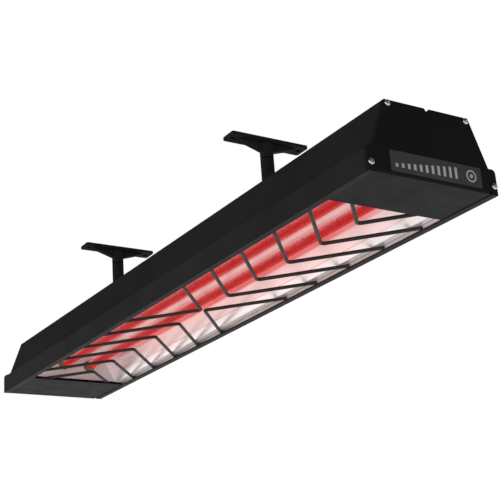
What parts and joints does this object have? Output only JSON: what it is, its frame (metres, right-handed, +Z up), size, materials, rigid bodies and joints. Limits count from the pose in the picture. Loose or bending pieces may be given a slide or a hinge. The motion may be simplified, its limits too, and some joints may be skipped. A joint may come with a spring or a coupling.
{
  "type": "infrared strip heater",
  "caption": "Long trapezoid infrared heater with twin red lamps, a faceted reflector and a chevron wire guard, on tilting, swivelling T-shaped ceiling mounts.",
  "frame": {"origin": "middle of the heater's bottom face, on the guard side", "axes": "+X along the heater towards the badge end, +Y across it, +Z up towards the ceiling"},
  "size_m": [1.0246, 0.18, 0.182],
  "materials": {
    "black_powder_coat": "satin powder coat",
    "guard_black": "heat-proof paint",
    "bright_screw": "polished",
    "badge_grey": "satin",
    "polished_aluminium": "polished",
    "plated_steel": "zinc plated",
    "ruby_quartz": "ruby coated quartz",
    "tungsten": "drawn wire",
    "ceramic": "fired steatite",
    "brass_terminal": "machined",
    "lead_sleeve": "woven glass sleeve",
    "black_nylon": "moulded",
    "seal_rubber": "moulded"
  },
  "bodies": {
    "heater": {"earth_stud": "brass_terminal", "far_cap_screws": "bright_screw", "far_end_cap": "black_powder_coat", "far_end_panel": "black_powder_coat", "far_lamp_holder": "plated_steel", "far_reflector_end": "polished_aluminium", "front_filament": "tungsten", "front_lamp_ends": "ceramic", "front_lamp_tube": "ruby_quartz", "gland_body": "black_nylon", "gland_cap": "black_nylon", "gland_locknut": "black_nylon", "gland_seal": "seal_rubber", "heat_shield": "plated_steel", "housing": "black_powder_coat", "internal_leads": "lead_sleeve", "lamp_clips": "plated_steel", "name_badge": "badge_grey", "near_cap_screws": "bright_screw", "near_end_cap": "black_powder_coat", "near_end_panel": "black_powder_coat", "near_lamp_holder": "plated_steel", "near_reflector_end": "polished_aluminium", "rear_filament": "tungsten", "rear_lamp_ends": "ceramic", "rear_lamp_tube": "ruby_quartz", "reflector": "polished_aluminium", "reflector_brackets": "plated_steel", "terminal_block": "ceramic", "terminal_screws": "brass_terminal", "wire_guard": "guard_black"},
    "near_carriage": {"near_channel_nut": "plated_steel", "near_foot_bracket": "black_powder_coat", "near_foot_screws": "bright_screw", "near_pivot_bolt": "bright_screw", "near_pivot_nut": "bright_screw", "near_pivot_washers": "bright_screw"},
    "near_pole": {"near_pole_knuckle": "black_powder_coat", "near_pole_tube": "black_powder_coat", "near_set_screw": "black_powder_coat", "near_swivel_washer": "black_nylon"},
    "near_ceiling_mount": {"near_ceiling_bracket": "black_powder_coat"},
    "far_carriage": {"far_channel_nut": "plated_steel", "far_foot_bracket": "black_powder_coat", "far_foot_screws": "bright_screw", "far_pivot_bolt": "bright_screw", "far_pivot_nut": "bright_screw", "far_pivot_washers": "bright_screw"},
    "far_pole": {"far_pole_knuckle": "black_powder_coat", "far_pole_tube": "black_powder_coat", "far_set_screw": "black_powder_coat", "far_swivel_washer": "black_nylon"},
    "far_ceiling_mount": {"far_ceiling_bracket": "black_powder_coat"}
  },
  "joints": [
    {"name": "near_slide", "type": "slide", "parent": "heater", "child": "near_carriage", "axis": [1, 0, 0], "range_m": [-0.1, 0.1]},
    {"name": "near_tilt", "type": "hinge", "parent": "near_carriage", "child": "near_pole", "pos_m": [0.198, 0, 0.108], "axis": [1, 0, 0], "range_deg": [-45, 45]},
    {"name": "near_swivel", "type": "hinge", "parent": "near_pole", "child": "near_ceiling_mount", "pos_m": [0.198, 0, 0.16], "axis": [0, 0, 1], "range_deg": [-90, 90]},
    {"name": "far_slide", "type": "slide", "parent": "heater", "child": "far_carriage", "axis": [1, 0, 0], "range_m": [-0.1, 0.1]},
    {"name": "far_tilt", "type": "hinge", "parent": "far_carriage", "child": "far_pole", "pos_m": [-0.246, 0, 0.108], "axis": [1, 0, 0], "range_deg": [-45, 45]},
    {"name": "far_swivel", "type": "hinge", "parent": "far_pole", "child": "far_ceiling_mount", "pos_m": [-0.246, 0, 0.16], "axis": [0, 0, 1], "range_deg": [-90, 90]}
  ],
  "couplings": [
    {"joint": "far_tilt", "follows": "near_tilt", "ratio": 1}
  ]
}
